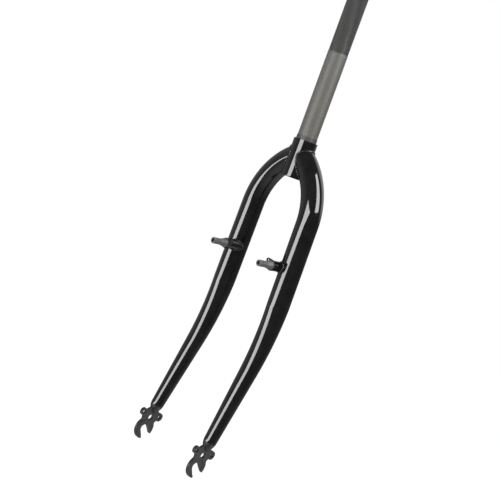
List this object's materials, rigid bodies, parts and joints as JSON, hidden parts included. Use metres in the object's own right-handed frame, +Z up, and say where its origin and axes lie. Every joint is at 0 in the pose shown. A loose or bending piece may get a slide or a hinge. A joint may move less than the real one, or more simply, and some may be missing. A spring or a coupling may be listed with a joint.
{
  "type": "rigid bicycle fork",
  "caption": "Rigid unicrown bicycle fork with bent, tapered steel blades, a bare steerer tube, hooked dropouts with eyelets and studs for rim brakes.",
  "frame": {"origin": "centre of the shoulder under the crown race seat, on the steering axis", "axes": "+Z up the steering axis, -Y the way the bicycle travels, +X the rider's left"},
  "size_m": [0.1278, 0.0759, 0.6455],
  "materials": {
    "black_paint": "gloss",
    "raw_steel": "satin",
    "stud_steel": "satin"
  },
  "bodies": {
    "root": {"steerer_tube": "raw_steel", "left_blade": "black_paint", "left_dropout": "black_paint", "left_brake_boss": "black_paint", "left_spring_plate": "black_paint", "left_brake_stud": "stud_steel", "right_blade": "black_paint", "right_dropout": "black_paint", "right_brake_boss": "black_paint", "right_spring_plate": "black_paint", "right_brake_stud": "stud_steel"}
  },
  "joints": []
}
